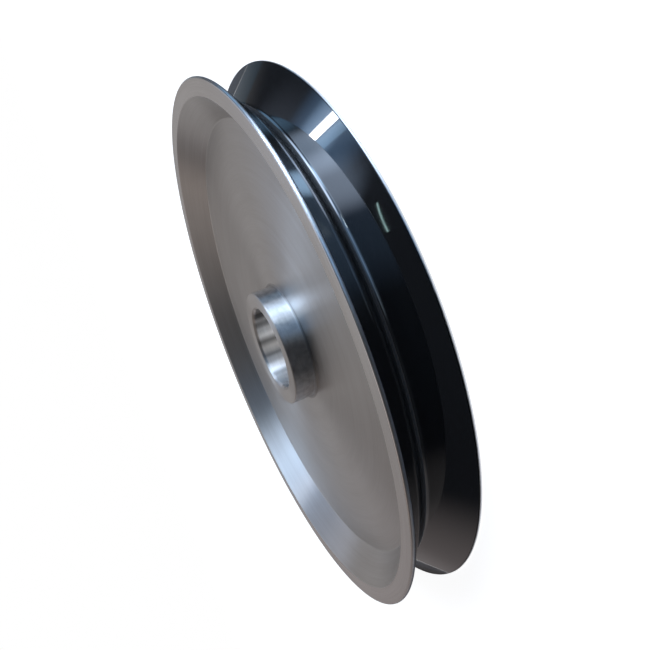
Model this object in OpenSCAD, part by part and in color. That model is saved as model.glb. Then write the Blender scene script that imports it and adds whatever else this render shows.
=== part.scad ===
// Idler wheel with a coated V-groove.
// One turned aluminium disc: two thin rims with a V-groove between them, a flat web that is
// dished from both faces, and a bored hub. A thin, glossy dark layer lines the groove.
// The axis is Z and the origin is the centre of the wheel.

/* [Rim] */
// Outer diameter over the two rim tips
wheel_d = 200; // [180:1:300]
// Width over the two flat rim faces
rim_w = 23.5; // [18:0.5:32]
// Radial width of each rim face, out to the tip
face_w = 6; // [3:0.25:9]
// Radius of the rounded rim tips
tip_r = 0.75; // [0.4:0.05:1.2]
// Radius that breaks the inner edge of each rim face
face_edge_r = 0.3; // [0.1:0.05:0.8]

/* [Groove] */
// Depth of the finished groove below the rim tips
groove_depth = 11.6; // [8:0.1:13]
// Radius of the finished groove bottom
root_r = 2; // [0.8:0.1:3]
// Thickness of the dark layer
coat_t = 0.3; // [0.2:0.05:0.6]

/* [Web] */
// Thickness of the web between the two recesses
web_t = 5.2; // [3:0.1:10]
// Angle of the recess wall from the axis
wall_angle = 45; // [30:1:50]
// Fillet at the foot of the recess wall
wall_fillet = 0.8; // [0.3:0.1:3]

/* [Hub] */
// Outer diameter of the hub
hub_d = 45; // [39:0.5:80]
// Length of the hub from end to end
hub_len = 22.3; // [14:0.1:40]
// Fillet where the hub meets the web
hub_fillet = 1; // [0.3:0.1:3]
// Chamfer on the outer edges of the hub
hub_chamfer = 0.3; // [0.1:0.1:1]

/* [Bore] */
// Diameter of the bore, the seat of the bearings
bore_d = 32; // [12:0.5:38]
// Chamfer at each mouth of the bore
bore_chamfer = 0.9; // [0.3:0.1:1.5]

/* [Hidden] */
$fn = 128;
arc_steps = 10;

wheel_r = wheel_d / 2;
hub_r = hub_d / 2;
bore_r = bore_d / 2;
rim_z = rim_w / 2;
web_z = web_t / 2;
hub_z = hub_len / 2;

// The recess wall is a cone from the mouth in the rim face down to the web
mouth_r = wheel_r - face_w;
floor_r = mouth_r - (rim_z - web_z) * tan(wall_angle);

// Each flank of the groove is the line that touches both the round tip and the round bottom
tip_centre = [wheel_r - tip_r, rim_z - tip_r];
root_centre = [wheel_r - groove_depth + root_r, 0];
span = tip_centre - root_centre;
flank_turn = atan2(span.y, span.x) - acos(-(tip_r + root_r) / norm(span));
flank_top = tip_centre + tip_r * heading(flank_turn);
shoulder = flank_top - coat_t * heading(flank_turn);

// Unit vector at an angle in the section, where x is the radius and y the height
function heading(a) = [cos(a), sin(a)];

// Points along an arc, both ends included
function arc(centre, r, from, to) =
    [for (i = [0:arc_steps]) centre + r * heading(from + (to - from) * i / arc_steps)];

// The same points from last to first
function reversed(points) = [for (i = [len(points) - 1:-1:0]) points[i]];

// The same points below the mid-plane, from last to first
function below(points) = [for (point = reversed(points)) [point.x, -point.y]];

// All points but the first, where that one repeats the last of the stretch before
function after_first(points) = [for (i = [1:len(points) - 1]) points[i]];

// Rounded hub foot, from the hub's side onto the web
function hub_foot() =
    arc([hub_r + hub_fillet, web_z + hub_fillet], hub_fillet, 180, 270);

// Rounded foot of the recess wall, from the web onto the cone
function wall_foot() =
    let (back = wall_fillet * tan((90 - wall_angle) / 2))
    arc([floor_r - back, web_z + wall_fillet], wall_fillet, -90, -wall_angle);

// Broken edge between the recess wall and the flat rim face
function face_edge() =
    let (back = face_edge_r * tan((90 - wall_angle) / 2))
    arc([mouth_r + back, rim_z - face_edge_r], face_edge_r, 180 - wall_angle, 90);

// Round rim tip, from the flat face over the crest to the top of the groove flank
function tip() = concat(
    arc(tip_centre, tip_r, 90, 0),
    after_first(arc(tip_centre, tip_r, 0, flank_turn))
);

// Half of a groove bottom, from the flank down to the mid-plane
function root_half(r) = arc(root_centre, r, flank_turn + 180, 180);

// Upper half of the body's section, from the bore out to the groove bottom
function body_half() = concat(
    [[bore_r, hub_z - bore_chamfer], [bore_r + bore_chamfer, hub_z]],
    [[hub_r - hub_chamfer, hub_z], [hub_r, hub_z - hub_chamfer]],
    hub_foot(),
    wall_foot(),
    face_edge(),
    tip(),
    [shoulder],
    root_half(root_r + coat_t)
);

// Upper half of one face of the dark layer, from its edge at the tip to the mid-plane
function coat_half(edge, r) = concat([edge], root_half(r));

// A whole outline from its upper half, which ends on the mid-plane
function whole(half) = concat(half, after_first(below(half)));

// Turned aluminium body, with the groove cut deeper by the thickness of its layer
module wheel_body() {
    color([0.62, 0.61, 0.60])
        rotate_extrude()
            polygon(whole(body_half()));
}

// Thin dark layer that lines the groove and ends flush at the bare tips
module groove_coating() {
    color([0.05, 0.06, 0.08])
        rotate_extrude()
            polygon(concat(
                whole(coat_half(flank_top, root_r)),
                reversed(whole(coat_half(shoulder, root_r + coat_t)))
            ));
}

wheel_body();
groove_coating();
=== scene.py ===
from math import acos, atan2, cos, pi, radians, sin, tan

import bpy
from mathutils import Matrix, Quaternion, Vector


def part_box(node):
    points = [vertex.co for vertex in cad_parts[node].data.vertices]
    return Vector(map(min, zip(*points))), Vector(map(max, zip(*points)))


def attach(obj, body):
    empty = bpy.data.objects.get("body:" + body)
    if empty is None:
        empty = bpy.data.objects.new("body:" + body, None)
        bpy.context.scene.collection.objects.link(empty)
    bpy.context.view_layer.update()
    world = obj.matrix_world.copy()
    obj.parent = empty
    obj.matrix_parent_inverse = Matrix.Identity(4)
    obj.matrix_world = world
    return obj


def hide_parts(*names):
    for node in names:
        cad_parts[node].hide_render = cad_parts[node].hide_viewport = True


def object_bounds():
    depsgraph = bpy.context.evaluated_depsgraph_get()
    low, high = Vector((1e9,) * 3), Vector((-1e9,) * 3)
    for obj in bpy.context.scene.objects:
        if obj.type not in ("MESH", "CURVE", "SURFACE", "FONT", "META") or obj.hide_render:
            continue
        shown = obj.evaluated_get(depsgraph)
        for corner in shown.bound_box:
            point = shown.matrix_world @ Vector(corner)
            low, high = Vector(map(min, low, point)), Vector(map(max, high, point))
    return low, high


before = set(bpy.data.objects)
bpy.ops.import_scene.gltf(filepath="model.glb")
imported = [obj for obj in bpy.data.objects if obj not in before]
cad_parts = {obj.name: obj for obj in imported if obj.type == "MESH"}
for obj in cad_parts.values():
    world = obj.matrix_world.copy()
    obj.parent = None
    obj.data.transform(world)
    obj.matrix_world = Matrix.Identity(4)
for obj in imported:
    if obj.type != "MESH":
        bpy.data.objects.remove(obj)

cad_low, cad_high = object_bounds()
scene = bpy.context.scene
scene.view_settings.view_transform = "Standard"


# Wheel body: one disc turned from aluminium on a lathe. Two thin rims stand either side of the groove,
# the web between rim and hub is dished from both faces, and the hub is bored for its bearings.
# Sizes are in metres: the outside comes from the frame, and the section follows the turning drawing.
wheel_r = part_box("wheel_body")[1].x
rim_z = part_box("wheel_body")[1].z
face_w = 0.0060
face_edge_r = 0.0003
tip_r = 0.00075
groove_depth = 0.0116
root_r = 0.0020
coat_t = 0.0003
web_z = 0.0026
wall_angle = radians(45)
wall_fillet = 0.0008
hub_r = 0.0225
hub_z = 0.01115
hub_fillet = 0.0010
hub_chamfer = 0.0003
bore_r = 0.0160
bore_chamfer = 0.0009

mouth_r = wheel_r - face_w
floor_r = mouth_r - (rim_z - web_z) * tan(wall_angle)
tip_centre = Vector((wheel_r - tip_r, rim_z - tip_r))
root_centre = Vector((wheel_r - groove_depth + root_r, 0))
span = tip_centre - root_centre
flank_turn = atan2(span.y, span.x) - acos(-(tip_r + root_r) / span.length)


def heading(angle):
    """Unit vector in the section, where x is the radius and y the height."""
    return Vector((cos(angle), sin(angle)))


def arc(centre, radius, start, end, steps):
    """Points along an arc of the section, both ends included."""
    turn = (end - start) / steps
    return [Vector(centre) + radius * heading(start + turn * i) for i in range(steps + 1)]


def both_sides(upper):
    """A whole outline from its upper half, which ends on the mid-plane."""
    lower = [Vector((point.x, -point.y)) for point in reversed(upper[:-1])]
    return upper + lower


def held_straight(outline, hold=0.00006):
    """The closed outline with a point close to each end of its straights, so that they shade flat."""
    shortest = 6 * hold
    held = []
    for here, after in zip(outline, outline[1:] + outline[:1]):
        run = after - here
        held.append(here)
        if run.length > shortest:
            held += [here + hold * run.normalized(), after - hold * run.normalized()]
    return held


flank_top = tip_centre + tip_r * heading(flank_turn)
shoulder = flank_top - coat_t * heading(flank_turn)
half_wall = tan((pi / 2 - wall_angle) / 2)
hub_foot_centre = (hub_r + hub_fillet, web_z + hub_fillet)
wall_foot_centre = (floor_r - wall_fillet * half_wall, web_z + wall_fillet)
face_edge_centre = (mouth_r + face_edge_r * half_wall, rim_z - face_edge_r)
body_outline = both_sides(
    [Vector((bore_r, hub_z - bore_chamfer)), Vector((bore_r + bore_chamfer, hub_z))]
    + [Vector((hub_r - hub_chamfer, hub_z)), Vector((hub_r, hub_z - hub_chamfer))]
    + arc(hub_foot_centre, hub_fillet, pi, 1.5 * pi, steps=10)
    + arc(wall_foot_centre, wall_fillet, -pi / 2, -wall_angle, steps=8)
    + arc(face_edge_centre, face_edge_r, pi - wall_angle, pi / 2, steps=6)
    + arc(tip_centre, tip_r, pi / 2, 0, steps=10)
    + arc(tip_centre, tip_r, 0, flank_turn, steps=6)[1:]
    + [shoulder]
    + arc(root_centre, root_r + coat_t, flank_turn + pi, pi, steps=8)
)


def lathe_tree():
    """Geometry Nodes that sweep a section round the wheel's axis and keep its sharp corners sharp."""
    tree = bpy.data.node_groups.new("lathe", "GeometryNodeTree")
    socket = tree.interface.new_socket
    socket("Section", in_out="INPUT", socket_type="NodeSocketGeometry")
    socket("Path Radius", in_out="INPUT", socket_type="NodeSocketFloat")
    socket("Steps Around", in_out="INPUT", socket_type="NodeSocketInt")
    socket("Corner Angle", in_out="INPUT", socket_type="NodeSocketFloat")
    socket("Finish", in_out="INPUT", socket_type="NodeSocketMaterial")
    socket("Turned Piece", in_out="OUTPUT", socket_type="NodeSocketGeometry")
    new, link = tree.nodes.new, tree.links.new
    given, made = new("NodeGroupInput"), new("NodeGroupOutput")
    section, path = new("GeometryNodeMeshToCurve"), new("GeometryNodeCurvePrimitiveCircle")
    sweep, smooth = new("GeometryNodeCurveToMesh"), new("GeometryNodeSetShadeSmooth")
    bend, corner = new("GeometryNodeInputMeshEdgeAngle"), new("ShaderNodeMath")
    sharpen, realize = new("GeometryNodeSetShadeSmooth"), new("GeometryNodeRealizeInstances")
    dress = new("GeometryNodeSetMaterial")
    corner.operation = "GREATER_THAN"
    sharpen.domain = "EDGE"
    sharpen.inputs["Shade Smooth"].default_value = False
    link(given.outputs["Section"], section.inputs["Mesh"])
    link(given.outputs["Steps Around"], path.inputs["Resolution"])
    link(given.outputs["Path Radius"], path.inputs["Radius"])
    link(path.outputs["Curve"], sweep.inputs["Curve"])
    link(section.outputs["Curve"], sweep.inputs["Profile Curve"])
    link(sweep.outputs["Mesh"], smooth.inputs["Geometry"])
    link(smooth.outputs["Geometry"], sharpen.inputs["Geometry"])
    link(bend.outputs["Unsigned Angle"], corner.inputs[0])
    link(given.outputs["Corner Angle"], corner.inputs[1])
    link(corner.outputs["Value"], sharpen.inputs["Selection"])
    link(sharpen.outputs["Geometry"], realize.inputs["Geometry"])
    link(realize.outputs["Geometry"], dress.inputs["Geometry"])
    link(given.outputs["Finish"], dress.inputs["Material"])
    link(dress.outputs["Geometry"], made.inputs["Turned Piece"])
    return tree


lathe = lathe_tree()


def turned(name, outline, finish, path_r=0.05, steps_around=512, corner_angle=radians(25)):
    """A closed piece turned from its section, as a plain mesh at the origin."""
    points = [(point.x - path_r, -point.y, 0) for point in outline]
    edges = [(i, (i + 1) % len(points)) for i in range(len(points))]
    section = bpy.data.meshes.new(name + "_section")
    section.from_pydata(points, edges, [])
    piece = bpy.data.objects.new(name, section)
    scene.collection.objects.link(piece)
    modifier = piece.modifiers.new("lathe", "NODES")
    modifier.node_group = lathe
    given = {
        "Path Radius": path_r,
        "Steps Around": steps_around,
        "Corner Angle": corner_angle,
        "Finish": finish,
    }
    for item in lathe.interface.items_tree:
        if item.name in given:
            modifier[item.identifier] = given[item.name]
    evaluated = piece.evaluated_get(bpy.context.evaluated_depsgraph_get())
    mesh = bpy.data.meshes.new_from_object(evaluated)
    piece.modifiers.clear()
    piece.data = mesh
    mesh.name = name
    return piece


def new_material(name):
    """A material, its node tree and its shader, ready to be filled."""
    material = bpy.data.materials.new(name)
    material.use_nodes = True
    return material, material.node_tree, material.node_tree.nodes["Principled BSDF"]


def fill(tree, node, inputs):
    """Set a node's inputs, each to a plain value or to the socket that feeds it."""
    for name, value in inputs.items():
        if isinstance(value, bpy.types.NodeSocket):
            tree.links.new(value, node.inputs[name])
        else:
            node.inputs[name].default_value = value


def add_node(tree, kind, inputs, **options):
    """One shader node with its inputs filled. The options are its own settings."""
    made = tree.nodes.new(kind)
    for option, value in options.items():
        setattr(made, option, value)
    fill(tree, made, inputs)
    return made


def maths(tree, operation, first, second=0.0):
    """One sum, on one number or on two."""
    return add_node(tree, "ShaderNodeMath", {0: first, 1: second}, operation=operation).outputs[0]


def spread(tree, value, low, high, to_low, to_high):
    """A value carried from one range to another and held inside it."""
    given = {"Value": value, "From Min": low, "From Max": high, "To Min": to_low, "To Max": to_high}
    return add_node(tree, "ShaderNodeMapRange", given).outputs["Result"]


def rising(tree, value, low, high):
    """A mask that goes from 0 to 1 while a value goes from low to high."""
    return spread(tree, value, low, high, 0.0, 1.0)


def falling(tree, value, low, high):
    """A mask that goes from 1 to 0 while a value goes from low to high."""
    return spread(tree, value, low, high, 1.0, 0.0)


def blend(tree, mask, outside, inside):
    """One number outside a mask and another inside it."""
    return add_node(tree, "ShaderNodeMix", {0: mask, 2: outside, 3: inside}).outputs[0]


def tint(tree, mask, outside, inside):
    """One colour outside a mask and another inside it."""
    return add_node(tree, "ShaderNodeMix", {0: mask, 6: outside, 7: inside}, data_type="RGBA").outputs[2]


def noise(tree, where, scale, detail, roughness=0.5):
    """Cloudy noise, mostly between 0.35 and 0.65."""
    given = {"Vector": where, "Scale": scale, "Detail": detail, "Roughness": roughness}
    return add_node(tree, "ShaderNodeTexNoise", given).outputs["Fac"]


def round_the_axis(tree):
    """Where a point is on a turned surface: its place, its direction round the axis, how far it is along
    the section, its radius and its height."""
    place = add_node(tree, "ShaderNodeTexCoord", {}).outputs["Object"]
    sideways = {0: place, 1: (1, 1, 0)}
    level = add_node(tree, "ShaderNodeVectorMath", sideways, operation="MULTIPLY").outputs[0]
    around = add_node(tree, "ShaderNodeVectorMath", {0: level}, operation="NORMALIZE").outputs[0]
    radius = add_node(tree, "ShaderNodeVectorMath", {0: level}, operation="LENGTH").outputs["Value"]
    height = add_node(tree, "ShaderNodeSeparateXYZ", {0: place}).outputs["Z"]
    along = maths(tree, "ADD", radius, height)
    return place, around, along, radius, height


def tool_marks(tree, around, along, pitch, reach, detail):
    """Noise drawn out round the axis: marks about one pitch wide, and as long as reach in turns."""
    across = maths(tree, "MULTIPLY", along, 1 / pitch)
    lifted = add_node(tree, "ShaderNodeCombineXYZ", {"Z": across}).outputs[0]
    shrink = 1 / (2 * pi * reach)
    drawn = {0: around, 1: (shrink, shrink, shrink), 2: lifted}
    where = add_node(tree, "ShaderNodeVectorMath", drawn, operation="MULTIPLY_ADD").outputs[0]
    return noise(tree, where, scale=1.0, detail=detail, roughness=0.6)


def turned_aluminium():
    """Bare aluminium as the lathe leaves it: fine ring marks that draw each highlight out across them."""
    material, tree, shader = new_material("turned_aluminium")
    place, around, along, radius, height = round_the_axis(tree)
    fine = tool_marks(tree, around, along, pitch=0.00045, reach=0.05, detail=3.0)
    bands = tool_marks(tree, around, along, pitch=0.004, reach=0.2, detail=2.0)
    clouds = noise(tree, place, scale=30.0, detail=3.0)
    # Noise that changes only round the axis: bands of painted reflection along the bore
    bore_reflection_noise = noise(tree, around, scale=3.2, detail=1.0)
    smears = noise(tree, place, scale=420.0, detail=3.0)
    marks = maths(tree, "ADD", fine, bands)
    marks_low, marks_high = 0.7, 1.3
    smears_low, smears_high = 0.36, 0.64
    normal = add_node(tree, "ShaderNodeNewGeometry", {}).outputs["Normal"]
    lean = add_node(tree, "ShaderNodeSeparateXYZ", {0: normal}).outputs["Z"]
    flatness = maths(tree, "ABSOLUTE", lean)
    outward = maths(tree, "MULTIPLY", lean, maths(tree, "SIGN", height))

    # Where the finish changes: rim faces, coned walls, hub side, hub foot (dark with painted shade), bore,
    # the rubbed rim tips, and their groove side, where some of the dark coating was sprayed over them
    # Painted shade in the corner at the hub's foot: how dark it gets, and the radii where it starts, is
    # full, fades and ends
    foot_shade_depth = 0.6
    foot_start, foot_full = hub_r + 0.01 * hub_fillet, hub_r + 0.12 * hub_fillet
    foot_fade, foot_end = hub_r + 0.9 * hub_fillet, hub_r + 1.3 * hub_fillet
    crest_start, crest_full = wheel_r - 0.3 * tip_r, wheel_r - 0.05 * tip_r
    on_rim = rising(tree, radius, mouth_r - face_edge_r, mouth_r + face_edge_r)
    coned = falling(tree, flatness, low=0.80, high=0.95)
    upright = falling(tree, flatness, low=0.2, high=0.6)
    on_hub = falling(tree, radius, hub_r, hub_r + hub_fillet)
    hub_side = maths(tree, "MULTIPLY", on_hub, upright)
    foot_in = spread(tree, radius, foot_start, foot_full, to_low=0.0, to_high=foot_shade_depth)
    foot_out = falling(tree, radius, foot_fade, foot_end)
    hub_foot_shade = maths(tree, "MULTIPLY", foot_in, foot_out)
    bored = falling(tree, radius, bore_r, bore_r + bore_chamfer)
    rubbed = rising(tree, radius, crest_start, crest_full)
    sprayed = falling(tree, outward, low=-0.55, high=-0.30)

    # Colour: two tones of the tool marks, lighter on the rim faces and the hub's ends, smeared on the
    # hub's side, streaked with painted reflections in the bore, and darkened with painted shade at the
    # hub's foot
    dark_cut, light_cut = (0.52, 0.505, 0.49, 1), (0.60, 0.59, 0.58, 1)
    # The hub foot's tone is painted shade; the rim tips' tone is rubbed bright metal
    foot_shade_tone, rubbed_tone = (0.30, 0.29, 0.285, 1), (0.74, 0.76, 0.79, 1)
    spray_tone = (0.03, 0.03, 0.033, 1)
    face_lift, end_lift = 1.26, 1.12
    tone = tint(tree, rising(tree, marks, marks_low, marks_high), dark_cut, light_cut)
    grime = spread(tree, clouds, low=0.35, high=0.65, to_low=0.93, to_high=1.0)
    # Painted reflection: light and dark bands round the bore's wall, running along its length
    painted_bore_reflection = spread(tree, bore_reflection_noise, low=0.36, high=0.62, to_low=0.50, to_high=1.70)
    smeared = spread(tree, smears, smears_low, smears_high, to_low=0.95, to_high=1.22)
    faced = maths(tree, "MAXIMUM", blend(tree, on_rim, 1.0, face_lift), blend(tree, on_hub, 1.0, end_lift))
    gleam = blend(tree, bored, blend(tree, hub_side, faced, smeared), painted_bore_reflection)
    clean = maths(tree, "MULTIPLY", grime, gleam)
    colour = add_node(tree, "ShaderNodeVectorMath", {0: tone, 3: clean}, operation="SCALE").outputs[0]
    for mask, new_tone in ((hub_foot_shade, foot_shade_tone), (rubbed, rubbed_tone), (sprayed, spray_tone)):
        colour = tint(tree, mask, colour, new_tone)

    # Roughness: the web's first, then that of each other finish over it
    face_rough, cone_rough, foot_rough, bore_rough, tip_rough = 0.19, 0.31, 0.50, 0.42, 0.34
    hub_rough = spread(tree, smears, smears_low, smears_high, to_low=0.36, to_high=0.31)
    rough = spread(tree, marks, marks_low, marks_high, to_low=0.28, to_high=0.33)
    for mask, new_rough in (
        (on_rim, face_rough),
        (coned, cone_rough),
        (hub_side, hub_rough),
        (hub_foot_shade, foot_rough),
        (bored, bore_rough),
        (rubbed, tip_rough),
    ):
        rough = blend(tree, mask, rough, new_rough)

    relief = add_node(tree, "ShaderNodeBump", {"Height": fine, "Strength": 0.15, "Distance": 0.00002})
    lay = add_node(tree, "ShaderNodeTangent", {}, direction_type="RADIAL", axis="Z")
    fill(tree, shader, {
        "Base Color": colour,
        "Roughness": rough,
        "Normal": relief.outputs["Normal"],
        "Tangent": lay.outputs["Tangent"],
        "Metallic": 1.0,
        "Anisotropic": 0.9,
        "Anisotropic Rotation": 0.25,
    })
    return material


wheel_body = turned("turned_wheel_body", held_straight(body_outline), turned_aluminium())
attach(wheel_body, "root")
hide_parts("wheel_body")


# Groove coating: a thin layer of dark ceramic, sprayed into the V-groove and polished to a gloss.
# It fills the undercut in the body, and ends flush where the bare rim tips begin.
coat_face = both_sides([flank_top] + arc(root_centre, root_r, flank_turn + pi, pi, steps=16))
coat_back = both_sides([shoulder] + arc(root_centre, root_r + coat_t, flank_turn + pi, pi, steps=16))
coating_outline = coat_face + coat_back[::-1]


def black_ceramic():
    """Polished near-black ceramic: a clear gloss over a faint haze, with hair-fine polishing marks."""
    material, tree, shader = new_material("black_ceramic")
    place, around, along = round_the_axis(tree)[:3]
    polish = tool_marks(tree, around, along, pitch=0.0006, reach=0.06, detail=3.0)
    clouds = noise(tree, place, scale=60.0, detail=2.0)
    deep_black, worn_black = (0.005, 0.005, 0.0055, 1), (0.009, 0.009, 0.0095, 1)
    worn = maths(tree, "ADD", polish, clouds)
    relief = add_node(tree, "ShaderNodeBump", {"Height": polish, "Strength": 0.02, "Distance": 0.00001})
    fill(tree, shader, {
        "Base Color": tint(tree, polish, deep_black, worn_black),
        "Roughness": spread(tree, worn, low=0.7, high=1.3, to_low=0.015, to_high=0.035),
        "Normal": relief.outputs["Normal"],
        "IOR": 2.26,
        "Coat Weight": 0.35,
        "Coat Roughness": 0.2,
        "Coat IOR": 1.5,
    })
    return material


groove_coating = turned("polished_groove_coating", held_straight(coating_outline), black_ceramic())
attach(groove_coating, "root")
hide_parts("groove_coating")


# Camera: close to the wheel, low over its upper rim and turned on its side, so that the wheel
# stands on edge in the picture while it lies on its lower rim.
aim = Vector((0.00087, -0.00378, -0.0118))
camera_distance = 0.25425
camera_azimuth = radians(-0.206)
camera_elevation = radians(17.767)
camera_roll = radians(111.459)


def towards(azimuth, elevation):
    """Unit vector from the wheel out to an azimuth and elevation: azimuth 0 is -Y and 90 degrees is +X."""
    level = cos(elevation)
    return Vector((level * sin(azimuth), -level * cos(azimuth), sin(elevation)))


camera_data = bpy.data.cameras.new("camera")
camera_data.sensor_width = 36.0
camera_data.lens = 36.34
camera_data.clip_start = 0.01
camera = bpy.data.objects.new("camera", camera_data)
camera_side = towards(camera_azimuth, camera_elevation)
camera.location = aim + camera_distance * camera_side
camera.rotation_mode = "QUATERNION"
unrolled = (-camera_side).to_track_quat("-Z", "Y")
camera.rotation_quaternion = unrolled @ Quaternion((0, 0, 1), -camera_roll)
scene.collection.objects.link(camera)
scene.camera = camera


# Floor and room: a pale floor under the wheel, white all round for the camera, and a dim grey room
# and a ring of painted shade on the floor round the wheel for the metal to mirror, out of the camera's
# sight
room_r = 4.5
ground_r = 0.98 * room_r
ground_steps = 64
sheet_in, sheet_out = 1.01 * wheel_r, 1.5
sheet_lift = 0.0004


def seen_white(tree):
    """1 for rays that show the background: straight from the camera, mirrored or through glass."""
    path = add_node(tree, "ShaderNodeLightPath", {}).outputs
    seen = maths(tree, "MAXIMUM", path["Is Camera Ray"], path["Is Glossy Ray"])
    return maths(tree, "MAXIMUM", seen, path["Is Transmission Ray"])


def pale_floor(glow=0.9):
    """Matt white paper that glows just enough to read as white, and still takes the wheel's shadow."""
    material, tree, shader = new_material("pale_floor")
    fill(tree, shader, {
        "Base Color": (0.5, 0.5, 0.5, 1),
        "Roughness": 0.9,
        "Specular IOR Level": 0.0,
        "Emission Color": (1, 1, 1, 1),
        "Emission Strength": maths(tree, "MULTIPLY", seen_white(tree), glow),
    })
    return material


floor_mesh = bpy.data.meshes.new("floor")
floor_ring = [ground_r * heading(2 * pi * i / ground_steps) for i in range(ground_steps)]
floor_mesh.from_pydata([(point.x, point.y, cad_low.z) for point in floor_ring], [], [range(ground_steps)])
floor_mesh.materials.append(pale_floor())
floor = bpy.data.objects.new("floor", floor_mesh)
scene.collection.objects.link(floor)


def wall_glow(tree, facing, wall, azimuth, elevation, core, reach, colour):
    """A wall tone with one more soft pool of light in it: full inside core degrees, and gone at reach."""
    centre = towards(radians(azimuth), radians(elevation))
    nearness = add_node(tree, "ShaderNodeVectorMath", {0: facing, 1: centre}, operation="DOT_PRODUCT")
    given = {
        "Value": nearness.outputs["Value"],
        "From Min": cos(radians(reach)),
        "From Max": cos(radians(core)),
    }
    pool = add_node(tree, "ShaderNodeMapRange", given, interpolation_type="SMOOTHSTEP").outputs["Result"]
    lit = add_node(tree, "ShaderNodeVectorMath", {0: colour, 3: pool}, operation="SCALE").outputs[0]
    return add_node(tree, "ShaderNodeVectorMath", {0: wall, 1: lit}).outputs[0]


def grey_room():
    """Dark walls with soft pools of light: grey behind the wheel, warm on one side, bluish on the other."""
    material, tree, shader = new_material("grey_room")
    tree.nodes.remove(shader)
    place = add_node(tree, "ShaderNodeTexCoord", {}).outputs["Object"]
    facing = add_node(tree, "ShaderNodeVectorMath", {0: place}, operation="NORMALIZE").outputs[0]
    wall = (0.022, 0.024, 0.029)

    # Grey wall behind the wheel, and the ceiling over it
    wall = wall_glow(tree, facing, wall, 167, 18, core=13, reach=40, colour=(0.33, 0.315, 0.311))
    wall = wall_glow(tree, facing, wall, 180, 62, core=10, reach=32, colour=(0.37, 0.37, 0.38))
    wall = wall_glow(tree, facing, wall, -152, 6, core=4, reach=22, colour=(0.06, 0.06, 0.06))

    # Warm side
    wall = wall_glow(tree, facing, wall, -135, 8, core=5, reach=40, colour=(0.225, 0.195, 0.19))
    wall = wall_glow(tree, facing, wall, -92, 6, core=8, reach=28, colour=(0.17, 0.16, 0.16))
    wall = wall_glow(tree, facing, wall, -142, 36, core=4, reach=16, colour=(0.05, 0.04, 0.03))
    wall = wall_glow(tree, facing, wall, -138, 56, core=8, reach=27, colour=(0.30, 0.25, 0.22))

    # Bluish side, from the back round to the front
    wall = wall_glow(tree, facing, wall, 139, 44, core=12, reach=29, colour=(0.335, 0.39, 0.505))
    wall = wall_glow(tree, facing, wall, 101, 61, core=4, reach=15, colour=(0.98, 1.28, 1.78))
    wall = wall_glow(tree, facing, wall, 139, 3, core=8, reach=10.5, colour=(0.005, 0.04, 0.07))
    wall = wall_glow(tree, facing, wall, 45, 18, core=15, reach=45, colour=(0.25, 0.42, 0.68))
    wall = wall_glow(tree, facing, wall, 3, 31, core=2, reach=10, colour=(0.30, 0.38, 0.46))
    wall = wall_glow(tree, facing, wall, 19, 30, core=3, reach=10, colour=(0.36, 0.56, 0.86))
    wall = wall_glow(tree, facing, wall, 35, 28, core=3, reach=10, colour=(0.40, 0.62, 0.94))

    # Daylight round the strip window, and low on the wall below it
    wall = wall_glow(tree, facing, wall, 105, 10, core=4, reach=14, colour=(0.34, 0.66, 1.05))
    wall = wall_glow(tree, facing, wall, 101, 42, core=1, reach=8, colour=(0.55, 0.85, 1.25))
    wall = wall_glow(tree, facing, wall, 99, 43, core=1, reach=16, colour=(0.15, 0.32, 0.60))
    wall = wall_glow(tree, facing, wall, 70, 32.8, core=1, reach=8, colour=(3.20, 5.00, 7.20))
    wall = wall_glow(tree, facing, wall, 58, 11, core=6, reach=20, colour=(3.40, 4.10, 5.30))
    wall = wall_glow(tree, facing, wall, 77, 11, core=5, reach=18, colour=(2.35, 3.05, 4.10))
    glow = add_node(tree, "ShaderNodeEmission", {"Color": wall, "Strength": 1.0})
    tree.links.new(glow.outputs[0], tree.nodes["Material Output"].inputs["Surface"])
    return material


def half_dome(name, radius, steps_around=64, steps_up=24):
    """An open half sphere over the floor."""
    rings = [
        [towards(2 * pi * i / steps_around, pi / 2 * j / steps_up) * radius for i in range(steps_around)]
        for j in range(steps_up)
    ]
    points = [point for ring in rings for point in ring] + [Vector((0, 0, radius))]
    top = len(points) - 1
    faces = []
    for j in range(steps_up):
        for i in range(steps_around):
            here, after = j * steps_around + i, j * steps_around + (i + 1) % steps_around
            if j == steps_up - 1:
                faces.append((after, here, top))
            else:
                faces.append((after, here, here + steps_around, after + steps_around))
    mesh = bpy.data.meshes.new(name)
    mesh.from_pydata(points, [], faces)
    return bpy.data.objects.new(name, mesh)


room = half_dome("grey_room", room_r)
room.data.materials.append(grey_room())
room.visible_camera = False
scene.collection.objects.link(room)


def painted_shade_sheet():
    """Dark grey sheet that only mirrored rays see: painted shade on the floor round the wheel."""
    material, tree, shader = new_material("painted_shade_sheet")
    fill(tree, shader, {"Base Color": (0.12, 0.12, 0.125, 1)})
    return material


# Painted shade: a dark ring just over the floor, seen in mirrored rays but not by the camera, diffuse light
# or shadows
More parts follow.
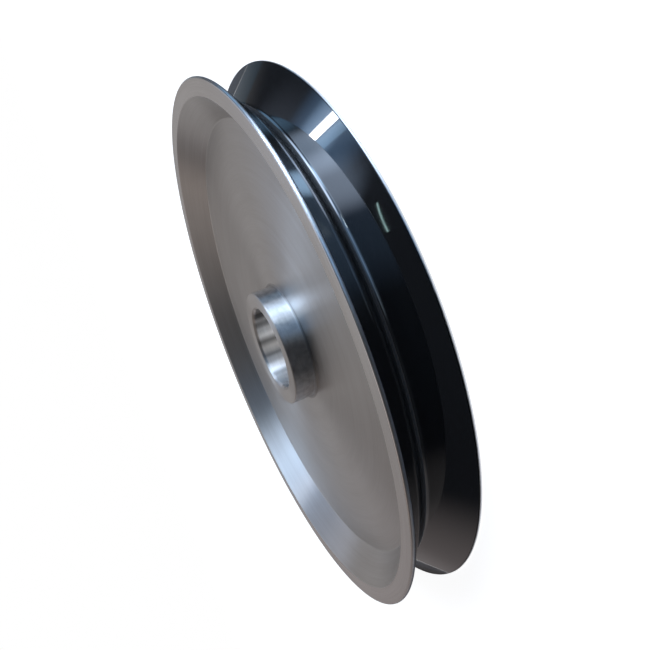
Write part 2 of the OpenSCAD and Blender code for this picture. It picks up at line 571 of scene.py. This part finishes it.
shade_sheet_mesh = bpy.data.meshes.new("painted_shade_sheet")
sheet_points, sheet_faces = [], []
for i in range(ground_steps):
    first, last = (towards(2 * pi * (i + step) / ground_steps, 0) for step in (0, 1))
    corners = [sheet_in * last, sheet_in * first, sheet_out * first, sheet_out * last]
    sheet_faces.append(range(len(sheet_points), len(sheet_points) + len(corners)))
    sheet_points += [(corner.x, corner.y, cad_low.z + sheet_lift) for corner in corners]
shade_sheet_mesh.from_pydata(sheet_points, [], sheet_faces)
shade_sheet_mesh.materials.append(painted_shade_sheet())
shade_sheet = bpy.data.objects.new("painted_shade_sheet", shade_sheet_mesh)
shade_sheet.visible_camera = False
shade_sheet.visible_diffuse = False
shade_sheet.visible_shadow = False
scene.collection.objects.link(shade_sheet)

world = bpy.data.worlds.new("white_surround")
world.use_nodes = True
world_tree = world.node_tree
backdrop = world_tree.nodes["Background"]
fill(world_tree, backdrop, {"Color": (1, 1, 1, 1), "Strength": seen_white(world_tree)})
scene.world = world


# Lamps: daylight from a long strip window high on one side, with a fainter pane above it,
# and a slim lamp overhead.
def strip_lamp(name, start, end, height, radiance, colour, distance=2.6):
    """A long flat lamp that faces the wheel. Its ends are azimuths and elevations in degrees."""
    first, last = (towards(radians(azimuth), radians(elevation)) for azimuth, elevation in (start, end))
    middle = (first + last).normalized()
    along = (first - last).normalized()
    lamp = bpy.data.lights.new(name, "AREA")
    lamp.shape = "RECTANGLE"
    lamp.size = 2 * distance * tan(first.angle(last) / 2)
    lamp.size_y = height
    lamp.color = colour
    lamp.energy = radiance * pi * lamp.size * lamp.size_y
    stand = bpy.data.objects.new(name, lamp)
    stand.location = distance * middle
    stand.rotation_mode = "QUATERNION"
    stand.rotation_quaternion = Matrix((along, middle.cross(along), middle)).transposed().to_quaternion()
    stand.visible_camera = False
    scene.collection.objects.link(stand)


window_h = 0.125
strip_lamp("strip_window", (104, 41.2), (92, 39.4), window_h, radiance=16.0, colour=(0.93, 0.95, 1.0))
strip_lamp("long_strip", (91.5, 40.5), (42, 40.5), window_h, radiance=14.5, colour=(0.80, 0.93, 1.0))
strip_lamp("upper_pane", (103.5, 44.3), (88, 42.6), height=0.14, radiance=0.8, colour=(0.42, 0.70, 1.0))
strip_lamp(
    "slim_lamp", (64.0, 61.2), (49.1, 66.5),
    height=0.004, radiance=5.0, colour=(0.65, 1.0, 1.0), distance=2.62,
)
